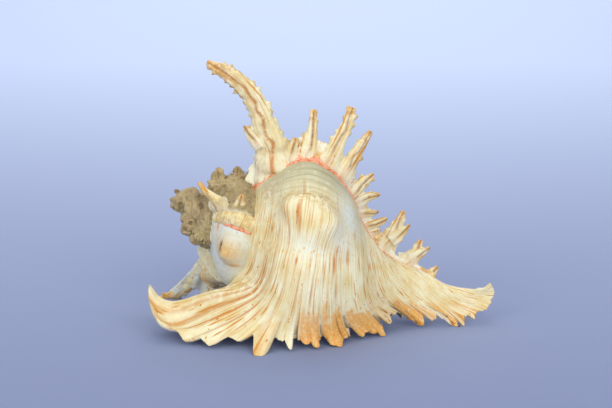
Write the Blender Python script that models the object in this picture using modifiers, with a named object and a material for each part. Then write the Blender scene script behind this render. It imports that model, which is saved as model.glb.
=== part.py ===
"""A ramose murex shell, resting on its aperture: one grown piece with its frilled varices."""
import math

import bmesh
import bpy
import numpy as np

# Driving dimensions, in millimetres and degrees. The shell coils about an axis that runs from
# the apex down to the tip of the siphonal canal. A place on it has an angle of growth (0 at the
# lip, negative before it) and a share across the whorl (0 at the suture, 1 at the canal's tip).
mm = 0.001
apexPlace = (0.0, 0.0, 56.5)
restPlace = (-70.57, 9.83, -0.4)
axisTilt = 18.4
lipTurn = -38.0
growthPerTurn = 2.0
wallThickness = 3.6
lipThickness = 2.6
wingLean = 0.7
spineSag = 90.0
startOfShell = -1500
startOfHollow = -270

# Degrees of growth in which a wing, the lip's long spine, the rest of the lip and a digit rise.
wingReach = 8.0
spineReach = 5.0
bodyReach = 20.0
digitReach = 3.5

# The canal's end turns up: by how much, and between which distances along the axis.
canalLift = (7.0, 132, 158)

# The pillar about the axis: its ends along it, its radii there, and how far it stands off.
pillarEnds = (62, 128)
pillarRadii = (7.5, 2.2)
pillarShift = (0, 2.2, -1.3)

# The lip's flare and the sag of its spine pass from one to the other between these shares.
spineShares = (0.19, 0.25)
bodyShares = (0.19, 0.42)

# Which way the lip's digits point: partly with the flare, partly down and to the front.
digitFlare = 0.5
digitDrop = (0, -0.45, -0.9)

# Degrees of growth over which the wall thins to the lip, and what the back wall has on top.
wallFade = 14.0
backWallExtra = 0.8

# Degrees by which the stretches of whorl run into the older one, so that they fuse.
spireOverlap = 8.0
backOverlap = 6.0
lipOverlap = 3.0

# A frond's length to one ring of points, its sides, and its depth as a share of its width.
frondStep = 2.5
frondSides = 10
frondDepth = 0.62

# Rows and columns of points on each stretch of whorl, and the mesh after they are fused.
lipGrid = (90, 190)
lipEven = 0.75
lipCrowding = (50, 5)
lipColumns = ((0, 0.1, 0.65, 1), (0, 0.1, 0.42, 1))
backGrid = (40, 60)
spireColumns = 34
spireStep = 6.0
hubColumns = 8
hubRadius = 0.05
pillarGrid = (14, 12)
voxelSize = 1.0
keptFaces = 0.061
smoothing = (0.5, 2)
groundSize = (300, 300, 40)

# Varices, newest first: angle of growth, and how far their wings stand out, as a factor.
varices = (
    (0, 1.0), (-118, 1.0), (-270, 0.9), (-421, 1.25), (-500, 1.3), (-605, 1.2), (-715, 1.2),
    (-810, 1.2), (-905, 1.2), (-1020, 1.2),
)

# The whorl's outline at the lip: distance along the axis, distance out from it.
whorlOutline = (
    (38, 12), (43.3, 29), (50.5, 40), (58, 49), (68, 54.5), (79, 53), (88.5, 48), (98, 40.5),
    (105.3, 30), (114, 21.5), (125.1, 13.2), (139, 9.8), (155, 8.6), (163, 6),
)

# How far a varix's wing stands out from the whorl at the lip's size, by share across it.
wingHeight = (
    (0, 4), (0.1, 9), (0.18, 14), (0.25, 12.5), (0.33, 11.5), (0.4, 11), (0.46, 5.5),
    (0.53, 6), (0.6, 8), (0.68, 7), (0.76, 7), (0.85, 3.5), (0.95, 3), (1, 2),
)

# The lip's edge: share across, then its place.
lipEdge = (
    (0, 36, -9.5, 24), (0.06, 22, -13, 13), (0.11, 5, -12, 9), (0.15, -8, -19, 17),
    (0.175, -10.6, -22.6, 23), (0.19, -10.5, -27.2, 17), (0.205, -6.6, -34.8, 11.5),
    (0.22, -0.7, -39.3, 9), (0.237, 8.8, -43.6, 6.5), (0.257, 20, -48.1, 5.5),
    (0.275, 30.9, -48.3, 6.5), (0.292, 40.5, -50.1, 8), (0.318, 49.1, -49.8, 6.5),
    (0.338, 55.9, -49.6, 5.5), (0.36, 63.1, -48, 5), (0.39, 69, -46.4, 4.5),
    (0.42, 75.5, -43.2, 4), (0.455, 83.4, -37.1, 5), (0.485, 90.5, -32.4, 5),
    (0.515, 96.7, -29.1, 4.5), (0.54, 99.3, -24.5, 7.5), (0.575, 101.9, -19.6, 9),
    (0.62, 108.3, -14.5, 9), (0.655, 114.5, -14.5, 7.5), (0.69, 121.8, -12.7, 7),
    (0.735, 128, -12.8, 7.5), (0.77, 132.1, -11, 3.5), (0.825, 137.3, -11, 4.5),
    (0.88, 143.2, -9.3, 5.5), (0.94, 151, -4.1, 10), (0.97, 154, 1.3, 13), (1, 151.9, 1.4, 17.5),
)

# The lip's digits: share across, length, half width as a share.
lipDigits = (
    (0.237, 4.5, 0.006), (0.258, 4.5, 0.007), (0.279, 3.5, 0.006), (0.302, 12.5, 0.0095),
    (0.325, 2, 0.004), (0.336, 2.5, 0.005), (0.364, 3.5, 0.014), (0.415, 2.5, 0.018),
    (0.487, 3, 0.026), (0.55, 4, 0.009), (0.59, 2, 0.008), (0.655, 4.5, 0.01),
    (0.69, 4, 0.009), (0.765, 6, 0.018), (0.82, 1.5, 0.01), (0.87, 1.5, 0.01),
    (0.92, 1.5, 0.012),
)

# Knobs between the varices: angle of growth, share across, height at the lip's size.
knobReach = (12, 0.07)
knobs = ((-70, 0.33, 6.0), (-195, 0.31, 6.5), (-382, 0.29, 9), (-460, 0.28, 7), (-560, 0.28, 7))

# Lumps of old crust about the apex: place, radius.
lumps = (
    ((1.6, -1, 56.7), 3.4), ((6.4, -1, 59), 4.6), ((9.6, -6, 53.6), 5.4), ((8.1, -6, 46.9), 4),
    ((10.2, -9, 42), 2.8), ((8, 4, 61), 3), ((21, 2, 66), 5), ((29, 2, 67), 4.6),
)

# Spines and fronds of the varices: angle of growth, lean against the growth at the tip, then
# the route as (along the axis, out from it) and half widths along it.
fronds = (
    (-118, 14, ((43, 22), (38.9, 35.5), (36, 41.8), (31, 48), (26, 54.4), (20.3, 60), (13.6, 64.2),
                (6.7, 66.8), (0, 67.6), (-6.2, 68.2)), (10, 9, 7.2, 6, 5, 4.4, 4.1, 3.8, 2.8, 1.5)),
    (-118, 4, ((30, 41), (24, 44.5), (19.4, 47)), (2.6, 1.9, 0.8)),
    (-118, 2, ((45.6, 40), (44.5, 50)), (3, 1.4)),
    (-118, 12, ((53, 40), (51.6, 51), (48.8, 63)), (5.4, 2.6, 1.5)),
    (-118, 14, ((62, 40), (63.6, 50), (65.3, 60), (65.7, 69.6)), (6.2, 3.8, 2.9, 1.4)),
    (-118, 10, ((70.5, 38), (72.6, 47), (75, 55), (77.4, 62.3)), (5.6, 3.2, 2.6, 1.3)),
    (-118, 6, ((78, 31), (81.5, 38), (85.2, 43.6)), (4.2, 2.6, 1.1)),
    (-118, 4, ((82, 29), (87, 33.5), (91.4, 35.4)), (3, 1.8, 0.9)),
    (-118, 4, ((84, 24), (93.6, 26.8)), (2.6, 0.9)),
    (-118, 4, ((88, 17.5), (94, 21.4), (98.8, 25)), (3, 2, 0.9)),
    (-118, 2, ((91, 15), (97.4, 19)), (2.2, 0.9)),
    (-118, 8, ((101, 10), (103.5, 19), (105.5, 29.6)), (5.5, 3.2, 1.3)),
    (-118, 6, ((104, 16), (110.3, 24.8)), (2.4, 0.9)),
    (-118, 5, ((115, 7), (117.2, 13), (117.9, 19.4)), (4.4, 2.4, 1)),
    (-118, 4, ((116, 10), (123, 17.6)), (2.2, 0.9)),
    (-118, 2, ((127, 4), (129.8, 10)), (2.4, 0.9)),
    (-270, 5, ((30, 15), (26.9, 23), (24.6, 29), (22.6, 36), (20.4, 46), (17.3, 55), (13.1, 63),
               (7.3, 67.6)), (7, 6, 4.6, 4, 3.4, 3, 2.6, 1.8)),
    (-270, 5, ((33, 20), (30, 34), (27, 42)), (10, 8, 4)),
    (-270, 6, ((36, 28), (33, 42), (28, 54)), (7, 4, 1.2)),
    (-270, 6, ((41, 30), (39.5, 43), (37.5, 53)), (4.2, 2.4, 1.2)),
    (-270, 7, ((48, 30), (49, 44), (49.5, 53)), (4.4, 2.8, 1.3)),
    (-270, 6, ((54, 28), (57, 40), (59.5, 48)), (4, 2.4, 1.2)),
    (-270, 4, ((59, 24), (64, 34), (67, 39)), (3.4, 2, 1)),
    (-270, 2, ((65, 16), (71, 24), (74, 28)), (3, 1.8, 0.9)),
    (-270, 4, ((76, 9), (79, 19), (80.5, 25)), (4, 2.2, 1)),
    (-270, 3, ((88, 7), (90.5, 17)), (3.2, 1)),
    (-421, 9, ((22, 15), (18.8, 19.6), (12.6, 18.4), (8, 16)), (4.6, 3.2, 2.4, 1.9)),
    (-421, 8, ((29, 18), (28.5, 26)), (2.8, 1.1)),
    (-500, 2, ((19, 12), (16.4, 18), (13.8, 23.6)), (3.4, 2.4, 1)),
    (-500, 2, ((25, 16), (24.5, 22), (23.2, 26)), (3, 2.2, 1)),
    (-605, 2, ((13, 9), (8.5, 15)), (2.4, 1)),
    (-715, 2, ((13, 8), (9.5, 10.5), (6.3, 11.2)), (2.6, 1.8, 1)),
    (-715, 2, ((16.5, 11), (14.7, 16.6)), (2.4, 1.2)),
    (-905, 2, ((8, 5), (4.4, 9.5), (-2.2, 12)), (2, 1.5, 0.8)),
)

tilt = math.radians(axisTilt)
alongAxis = np.array((math.cos(tilt), 0, -math.sin(tilt)))
upFromAxis = np.array((math.sin(tilt), 0, math.cos(tilt)))
towardsFront = np.array((0, -1, 0))


def smoothStep(low, high, x):
    t = np.clip((x - low) / (high - low), 0, 1)
    return t * t * (3 - 2 * t)


def through(rows, x):
    """Values at x of a smooth curve through rows, whose first column is the place."""
    rows = np.array(rows, float)
    knots, values = rows[:, 0], rows[:, 1:]
    slopes = np.gradient(values, knots, axis=0)
    x = np.clip(x, knots[0], knots[-1])
    i = np.clip(np.searchsorted(knots, x, side="right") - 1, 0, len(knots) - 2)
    span = knots[i + 1] - knots[i]
    t = ((x - knots[i]) / span)[..., None]
    span = span[..., None]
    start = values[i] * (1 + 2 * t) * (1 - t) ** 2 + slopes[i] * span * t * (1 - t) ** 2
    end = values[i + 1] * t * t * (3 - 2 * t) - slopes[i + 1] * span * t * t * (1 - t)
    return start + end


def withShares(points):
    """The points, with their share of the polyline's length in front."""
    points = np.array(points, float)
    steps = np.linalg.norm(np.diff(points, axis=0), axis=1)
    shares = np.concatenate(([0], np.cumsum(steps))) / steps.sum()
    return np.column_stack((shares, points))


outlineRows = withShares(whorlOutline)


def scaleAt(turn):
    return growthPerTurn ** (turn / 360)


def outlineAt(across):
    """Point and outward direction of the whorl's outline, at the lip's size."""
    point = through(outlineRows, across)
    ahead = through(outlineRows, across + 0.004) - through(outlineRows, across - 0.004)
    outward = np.stack((-ahead[..., 1], ahead[..., 0]), axis=-1)
    return point, outward / np.linalg.norm(outward, axis=-1, keepdims=True)


def placed(along, out, angle):
    """Points at a distance along the axis, out from it, and at an angle about it in degrees."""
    angle = np.radians(angle)[..., None]
    radial = np.cos(angle) * towardsFront + np.sin(angle) * upFromAxis
    return np.array(apexPlace) + along[..., None] * alongAxis + out[..., None] * radial


def knobHeight(turn, across):
    height = np.zeros(np.broadcast(turn, across).shape)
    for knobTurn, knobAcross, knobRise in knobs:
        away = ((turn - knobTurn) / knobReach[0]) ** 2 + ((across - knobAcross) / knobReach[1]) ** 2
        height = height + knobRise * np.exp(-away)
    return height


def whorl(turn, across, wing, inward=0.0):
    """Points of the whorl, with the share of a varix's wing that stands there."""
    scale = scaleAt(turn)
    point, outward = outlineAt(across)
    flap = wing * through(wingHeight, across)[..., 0] * scale
    rise = knobHeight(turn, across) * scale + flap - inward
    place = point * scale[..., None] + outward * rise[..., None]
    out = np.maximum(place[..., 1], 0.2)
    leanBack = np.degrees(np.arctan2(wingLean * flap, out + 4))
    points = placed(place[..., 0], out, lipTurn - turn + leanBack)
    points[..., 2] += canalLift[0] * smoothStep(*canalLift[1:], place[..., 0])
    return points


def lipDigit(across):
    height = np.zeros(across.shape)
    for place, length, halfWidth in lipDigits:
        height = np.maximum(height, length * np.exp(-np.abs((across - place) / halfWidth) ** 4))
    return height


def lipSheet(turns, across):
    """Outside of the newest part of the whorl, which spreads into the lip."""
    turn, share = np.meshgrid(turns, across, indexing="ij")
    reach = spineReach + (bodyReach - spineReach) * smoothStep(*bodyShares, share)
    spread = np.exp(turn / reach)
    start = whorl(np.zeros(len(across)), across, np.zeros(len(across)))
    flare = through(lipEdge, across) - start
    direction = flare / np.linalg.norm(flare, axis=1, keepdims=True)
    downAndOut = digitFlare * direction + np.array(digitDrop)
    downAndOut /= np.linalg.norm(downAndOut, axis=1, keepdims=True)
    points = whorl(turn, share, np.zeros(turn.shape)) + spread[..., None] * flare
    points += (np.exp(turn / digitReach) * lipDigit(share))[..., None] * downAndOut
    onSpine = 1 - smoothStep(*spineShares, share)
    points[..., 2] -= spineSag * spread ** 4 * (1 - spread) * onSpine
    return points


def addGrid(mesh, points, closed=False):
    """Adds a grid of points, row by row, with quads between. Returns its vertices."""
    rows = [[mesh.verts.new(p * mm) for p in row] for row in points]
    for first, second in zip(rows, rows[1:]):
        for i in range(len(first) if closed else len(first) - 1):
            j = (i + 1) % len(first)
            mesh.faces.new((first[i], first[j], second[j], second[i]))
    return rows


def addTube(mesh, rings):
    """A closed tube through rings of points, with a fan over each end."""
    rows = addGrid(mesh, rings, True)
    for row, ring in ((rows[0], rings[0]), (rows[-1], rings[-1])):
        middle = mesh.verts.new(ring.mean(axis=0) * mm)
        for i in range(len(row)):
            mesh.faces.new((row[i], row[(i + 1) % len(row)], middle))


def addSheet(mesh, outer, inner):
    """A closed sheet between two grids of points."""
    one = addGrid(mesh, outer)
    two = addGrid(mesh, inner)
    edges = (one[0], two[0]), (one[-1], two[-1])
    sides = [([row[i] for row in one], [row[i] for row in two]) for i in (0, -1)]
    for first, second in edges + tuple(sides):
        for i in range(len(first) - 1):
            mesh.faces.new((first[i], first[i + 1], second[i + 1], second[i]))


def wingShare(turns, newer, factor):
    """How a varix's wing rises towards the newer end of a stretch of growth."""
    return factor * np.exp((turns - newer) / wingReach)


def addSpire(mesh):
    """The older whorls, grown solid, from the apex to the varix behind the aperture."""
    across = np.linspace(0, 1, spireColumns)
    old = [v for v in varices if v[0] <= startOfHollow] + [(startOfShell, 0)]
    for (newer, factor), (older, _) in zip(old, old[1:]):
        count = max(8, int((newer - older) / spireStep))
        turns = older - spireOverlap + (newer - older + spireOverlap) * np.linspace(0, 1, count) ** 0.8
        turn, share = np.meshgrid(turns, across, indexing="ij")
        outer = whorl(turn, share, wingShare(turn, newer, factor))
        inner = []
        for end in np.linspace(1, 0, hubColumns):
            along = outlineAt(np.full(count, end))[0][:, 0] * scaleAt(turns)
            inner.append(placed(along, np.full(count, hubRadius), lipTurn - turns))
        addTube(mesh, np.concatenate((outer, np.stack(inner, axis=1)), axis=1))


def addBackWhorl(mesh):
    """The hollow stretch behind, which ends in the varix that stands on top."""
    rowCount, columnCount = backGrid
    across = np.linspace(0, 1, columnCount)
    older, (newer, factor) = startOfHollow, varices[1]
    turns = older - backOverlap + (newer - older + backOverlap) * np.linspace(0, 1, rowCount) ** 0.75
    turn, share = np.meshgrid(turns, across, indexing="ij")
    outer = whorl(turn, share, wingShare(turn, newer, factor))
    inner = whorl(turn, share, np.zeros(turn.shape), wallThickness * scaleAt(turn) + backWallExtra)
    addSheet(mesh, outer, inner)


def lipTurns(count):
    """Turns of growth from the top varix to the lip, closer together near the lip."""
    fine = np.linspace(varices[1][0] - lipOverlap, 0, 800)
    crowd, reach = lipCrowding
    run = np.cumsum(np.gradient(fine) * lipEven + np.gradient(np.exp(fine / reach)) * crowd)
    return np.interp(np.linspace(run[0], run[-1], count), run, fine)


def addLip(mesh):
    """The newest stretch, from the top varix down to the flared and fringed lip."""
    rowCount, columnCount = lipGrid
    turns = lipTurns(rowCount)
    across = np.interp(np.linspace(0, 1, columnCount), *lipColumns)
    outer = lipSheet(turns, across)
    normal = np.cross(np.gradient(outer, axis=0), np.gradient(outer, axis=1))
    normal /= np.linalg.norm(normal, axis=2, keepdims=True) + 1e-9
    thickness = lipThickness + (wallThickness - lipThickness) * (1 - np.exp(turns / wallFade))
    addSheet(mesh, outer, outer - normal * thickness[:, None, None])


def addColumella(mesh):
    """The pillar that runs on down the axis into the canal."""
    ringCount, sides = pillarGrid
    angle = np.linspace(0, 360, sides, endpoint=False)
    rings = []
    for share in np.linspace(0, 1, ringCount):
        along = np.full(sides, np.interp(share, (0, 1), pillarEnds))
        radius = np.full(sides, np.interp(share, (0, 1), pillarRadii))
        rings.append(placed(along, radius, angle) + np.array(pillarShift))
    addTube(mesh, np.array(rings))


def frameOf(turn):
    """Outward, and the way of growth, at an angle of growth."""
    angle = math.radians(lipTurn - turn)
    outward = math.cos(angle) * towardsFront + math.sin(angle) * upFromAxis
    growth = math.sin(angle) * towardsFront - math.cos(angle) * upFromAxis
    return outward, growth


def frondLine(turn, lean, route, shares):
    """Points along a frond's middle, which curves back against the growth."""
    outward, growth = frameOf(turn)
    line = through(withShares(route), shares)
    back = 1.0 + lean * shares ** 1.5
    flat = line[:, :1] * alongAxis + line[:, 1:] * outward
    return np.array(apexPlace) + flat - back[:, None] * growth


def addFrond(mesh, turn, lean, route, widths):
    """A tapered, slightly flattened spine that faces the way of growth."""
    length = np.linalg.norm(np.diff(np.array(route), axis=0), axis=1).sum()
    shares = np.linspace(0, 1, max(6, int(length / frondStep)))
    centre = frondLine(turn, lean, route, shares)
    width = np.interp(shares, withShares(route)[:, 0], widths)[:, None, None]
    ahead = np.gradient(centre, axis=0)
    side = np.cross(ahead, frameOf(turn)[1])
    side /= np.linalg.norm(side, axis=1, keepdims=True)
    front = np.cross(side, ahead)
    front /= np.linalg.norm(front, axis=1, keepdims=True)
    angle = np.linspace(0, 2 * math.pi, frondSides, endpoint=False)[None, :, None]
    ring = np.cos(angle) * side[:, None] + frondDepth * np.sin(angle) * front[:, None]
    addTube(mesh, centre[:, None] + width * ring)


def addLump(mesh, place, radius):
    ball = bmesh.ops.create_icosphere(mesh, subdivisions=2, radius=radius * mm)
    bmesh.ops.translate(mesh, verts=ball["verts"], vec=[v * mm for v in place])


def makeMaterial():
    material = bpy.data.materials.new("aragonite")
    material.use_nodes = True
    surface = material.node_tree.nodes["Principled BSDF"]
    surface.inputs["Base Color"].default_value = (0.8, 0.66, 0.45, 1)
    surface.inputs["Roughness"].default_value = 0.55
    surface.inputs["Metallic"].default_value = 0.0
    return material


def makeShell(collection):
    mesh = bmesh.new()
    addSpire(mesh)
    addBackWhorl(mesh)
    addLip(mesh)
    addColumella(mesh)
    for frond in fronds:
        addFrond(mesh, *frond)
    for lump in lumps:
        addLump(mesh, *lump)
    bmesh.ops.recalc_face_normals(mesh, faces=mesh.faces[:])
    data = bpy.data.meshes.new("shell")
    mesh.to_mesh(data)
    mesh.free()
    shell = bpy.data.objects.new("shell", data)
    shell.location = [v * mm for v in restPlace]
    collection.objects.link(shell)
    shell.data.materials.append(makeMaterial())
    return shell


def withoutBubbles(data):
    """Drops all but the largest of a mesh's separate surfaces."""
    mesh = bmesh.new()
    mesh.from_mesh(data)
    waiting = set(mesh.verts)
    surfaces = []
    while waiting:
        found = [waiting.pop()]
        for vert in found:
            near = {edge.other_vert(vert) for edge in vert.link_edges} & waiting
            waiting -= near
            found.extend(near)
        surfaces.append(found)
    surfaces.sort(key=len)
    for surface in surfaces[:-1]:
        bmesh.ops.delete(mesh, geom=surface, context="VERTS")
    mesh.to_mesh(data)
    mesh.free()


def fuse(shell):
    """Makes one skin of all that has grown together."""
    skin = shell.modifiers.new("fuse", "REMESH")
    skin.mode = "VOXEL"
    skin.voxel_size = voxelSize * mm
    skin.adaptivity = 0.0
    graph = bpy.context.evaluated_depsgraph_get()
    fused = bpy.data.meshes.new_from_object(shell.evaluated_get(graph))
    shell.modifiers.remove(skin)
    withoutBubbles(fused)
    fused.shade_smooth()
    shell.data = fused


def makeGround():
    """The block below the ground that levels the tips that the shell stands on."""
    collection = bpy.data.collections.new("cutters")
    bpy.context.scene.collection.children.link(collection)
    mesh = bmesh.new()
    bmesh.ops.create_cube(mesh, size=1.0)
    bmesh.ops.scale(mesh, verts=mesh.verts[:], vec=[v * mm for v in groundSize])
    bmesh.ops.translate(mesh, verts=mesh.verts[:], vec=(0, 0, -groundSize[2] / 2 * mm))
    data = bpy.data.meshes.new("ground")
    mesh.to_mesh(data)
    mesh.free()
    ground = bpy.data.objects.new("ground", data)
    ground.hide_render = True
    ground.display_type = "WIRE"
    collection.objects.link(ground)
    return ground


def main():
    for obj in list(bpy.data.objects):
        bpy.data.objects.remove(obj)
    collection = bpy.data.collections.new("murex shell")
    bpy.context.scene.collection.children.link(collection)
    shell = makeShell(collection)
    fuse(shell)
    even = shell.modifiers.new("even out", "SMOOTH")
    even.factor, even.iterations = smoothing
    thin = shell.modifiers.new("fewer faces", "DECIMATE")
    thin.ratio = keptFaces
    rest = shell.modifiers.new("level feet", "BOOLEAN")
    rest.operation = "DIFFERENCE"
    rest.solver = "EXACT"
    rest.object = makeGround()


main()
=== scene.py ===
import itertools
import math

import bmesh
import bpy
import numpy as np
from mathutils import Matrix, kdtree


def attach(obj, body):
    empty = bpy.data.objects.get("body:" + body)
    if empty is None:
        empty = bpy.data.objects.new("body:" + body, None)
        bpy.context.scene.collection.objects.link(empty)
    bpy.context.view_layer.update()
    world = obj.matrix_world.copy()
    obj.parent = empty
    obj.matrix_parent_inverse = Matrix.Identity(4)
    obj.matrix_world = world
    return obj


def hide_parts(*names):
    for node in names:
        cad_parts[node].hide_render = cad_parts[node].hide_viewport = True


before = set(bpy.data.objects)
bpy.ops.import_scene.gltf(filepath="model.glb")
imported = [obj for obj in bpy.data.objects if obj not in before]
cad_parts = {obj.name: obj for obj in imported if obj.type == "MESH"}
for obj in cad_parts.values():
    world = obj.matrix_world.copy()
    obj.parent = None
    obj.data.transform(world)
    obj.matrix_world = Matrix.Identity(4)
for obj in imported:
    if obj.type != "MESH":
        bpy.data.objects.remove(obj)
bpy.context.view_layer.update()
mm = 0.001

# How the shell grows, in millimetres and degrees of growth: 0 at the lip, negative before it.
# A share across the whorl is 0 at the suture and 1 at the canal's tip.
growth = {
    "apex": (0.0, 0.0, 56.5),
    "rest": (-70.57, 9.83, -0.4),  # the move that lays the shell at rest
    "tilt": 18.4,  # the axis below the level
    "lipTurn": -38.0,  # where the lip is about the axis
    "perTurn": 2.0,  # how much larger each turn is
    "wall": 3.6,
    "wingLean": 0.7,
    "wingReach": 8.0,
    "spineReach": 5.0,
    "bodyReach": 20.0,
    "digitReach": 3.5,
    "spineSag": 90.0,
    "canalLift": (7.0, 132, 158),  # height, from and to along the axis
    "outlineLength": 160,
    "mmPerDegree": 0.87,
    "varices": (  # of the spire: angle of growth, height of the wing
        (-270, 0.9), (-421, 0.25), (-500, 1.3), (-605, 1.2), (-715, 1.2), (-810, 1.2),
        (-905, 1.2), (-1020, 1.2),
    ),
    "startOfShell": -1500,
    "outline": (  # distance along the axis and out from it, at the lip
        (38, 12), (43.3, 29), (50.5, 40), (58, 49), (68, 54.5), (79, 53), (88.5, 48), (98, 40.5),
        (105.3, 30), (114, 21.5), (125.1, 13.2), (139, 9.8), (155, 8.6), (163, 6),
    ),
    "wingHeight": (
        (0, 4), (0.1, 9), (0.18, 14), (0.25, 12.5), (0.33, 11.5), (0.4, 11), (0.46, 5.5),
        (0.53, 6), (0.6, 8), (0.68, 7), (0.76, 7), (0.85, 3.5), (0.95, 3), (1, 2),
    ),
    "knobReach": (12, 0.07),
    "knobs": (  # angle of growth, share across, height
        (-70, 0.33, 6.0), (-195, 0.31, 6.5), (-382, 0.29, 9), (-460, 0.28, 7), (-560, 0.28, 7),
    ),
}

# The last whorl and its lip: the edge as share across and place, the digits as share, length and
# half width.
lip = {
    "start": -121,
    "rows": 150,
    "columns": 500,
    "wall": 1.5,
    "wallReach": 14,
    "foldReach": 13,
    "crustReach": (12, 18),  # millimetres from the edge
    "creaseReach": (5, 13),
    "jag": 5.6,
    "jaggedShares": (0.31, 0.35, 0.84, 0.91),
    "creaseShade": 0.9,
    "ribbedFrom": (-84, -50),
    "coral": (-116, 1.8, 0.7),  # angle of growth, half width, strength
    "edge": (
        (0, 36, -9.5, 24), (0.06, 22, -13, 13), (0.11, 5, -12, 9), (0.15, -8, -19, 17),
        (0.175, -10.6, -22.6, 23), (0.19, -10.5, -27.2, 17), (0.205, -6.6, -34.8, 11.5),
        (0.22, -0.7, -39.3, 9), (0.237, 8.8, -43.6, 6.5), (0.257, 20, -48.1, 5.5),
        (0.275, 30.9, -48.3, 6.5), (0.292, 40.5, -50.1, 8), (0.318, 49.1, -49.8, 6.5),
        (0.338, 55.9, -49.6, 5.5), (0.36, 63.1, -48, 5), (0.39, 69, -46.4, 4.5),
        (0.42, 75.5, -43.2, 4), (0.455, 83.4, -37.1, 5), (0.485, 90.5, -32.4, 5),
        (0.515, 96.7, -29.1, 4.5), (0.54, 99.3, -24.5, 7.5), (0.575, 101.9, -19.6, 9),
        (0.62, 108.3, -14.5, 9), (0.655, 114.5, -14.5, 7.5), (0.69, 121.8, -12.7, 7),
        (0.735, 128, -12.8, 7.5), (0.77, 132.1, -11, 3.5), (0.825, 137.3, -11, 4.5),
        (0.88, 143.2, -9.3, 5.5), (0.94, 151, -4.1, 10), (0.97, 154, 1.3, 13),
        (1, 151.9, 1.4, 17.5),
    ),
    "digits": (
        (0.237, 4.5, 0.006), (0.258, 4.5, 0.007), (0.279, 3.5, 0.006), (0.302, 12.5, 0.0095),
        (0.325, 2, 0.004), (0.336, 2.5, 0.005), (0.364, 1.5, 0.014), (0.415, 1, 0.018),
        (0.487, 1, 0.026), (0.55, 4, 0.009), (0.59, 2, 0.008), (0.655, 4.5, 0.01),
        (0.69, 4, 0.009), (0.765, 6, 0.018), (0.82, 1.5, 0.01), (0.87, 1.5, 0.01),
        (0.92, 1.5, 0.012),
    ),
    # Folds towards the lip: share across, half width, height, crust.
    "folds": (
        (0.302, 0.013, 1.2, 0.25), (0.37, 0.022, 1.0, 0.95), (0.425, 0.026, 1.0, 0.9),
        (0.495, 0.034, 1.0, 0.85), (0.553, 0.011, 1.2, 0.3), (0.59, 0.012, 1.0, 0.2),
        (0.648, 0.022, 1.7, 0.85), (0.692, 0.012, 1.2, 0.5), (0.765, 0.03, 1.6, 0.7),
        (0.83, 0.02, 0.9, 0.15), (0.88, 0.02, 0.9, 0.3), (0.93, 0.02, 0.9, 0.1),
    ),
    # Bumps of the last whorl: angle of growth, share across, reach, width, height.
    "bumps": (
        (-71, 0.262, 7, 0.032, 2.6), (-67, 0.395, 7, 0.034, 2.8), (-69, 0.33, 9, 0.03, -1.0),
        (-84, 0.3, 4, 0.09, -1.5), (-50, 0.34, 6, 0.12, -1.2), (-100, 0.3, 4, 0.09, 0.5),
    ),
    # Creases between them: share across, half width, depth, reach in degrees.
    "creases": (
        (0.345, 0.0035, 2.0, 9), (0.396, 0.0045, 2.6, 12), (0.436, 0.003, 2.2, 7),
        (0.456, 0.005, 2.8, 12), (0.533, 0.006, 2.8, 9), (0.57, 0.006, 1.2, 8),
        (0.61, 0.007, 1.4, 9), (0.672, 0.005, 1.3, 9), (0.73, 0.008, 1.2, 10),
    ),
}

# Relief of the ribs that run with the growth, and of the growth bands across them.
ribs = {
    "spacing": (1.0, 2.1),
    "height": 0.34,
    "fineSpacing": (0.5, 0.9),
    "fineHeight": 0.1,
    "bandSpacing": (1.6, 4.2),
    "bandHeight": 0.16,
    "crustHeight": 0.75,
    "oldCrustHeight": 2.0,
    "coralHeight": 0.12,
    "crustGrain": 2.6,
    "oldCrustGrain": 2.6,
    "coralGrain": 1.8,
}

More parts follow.
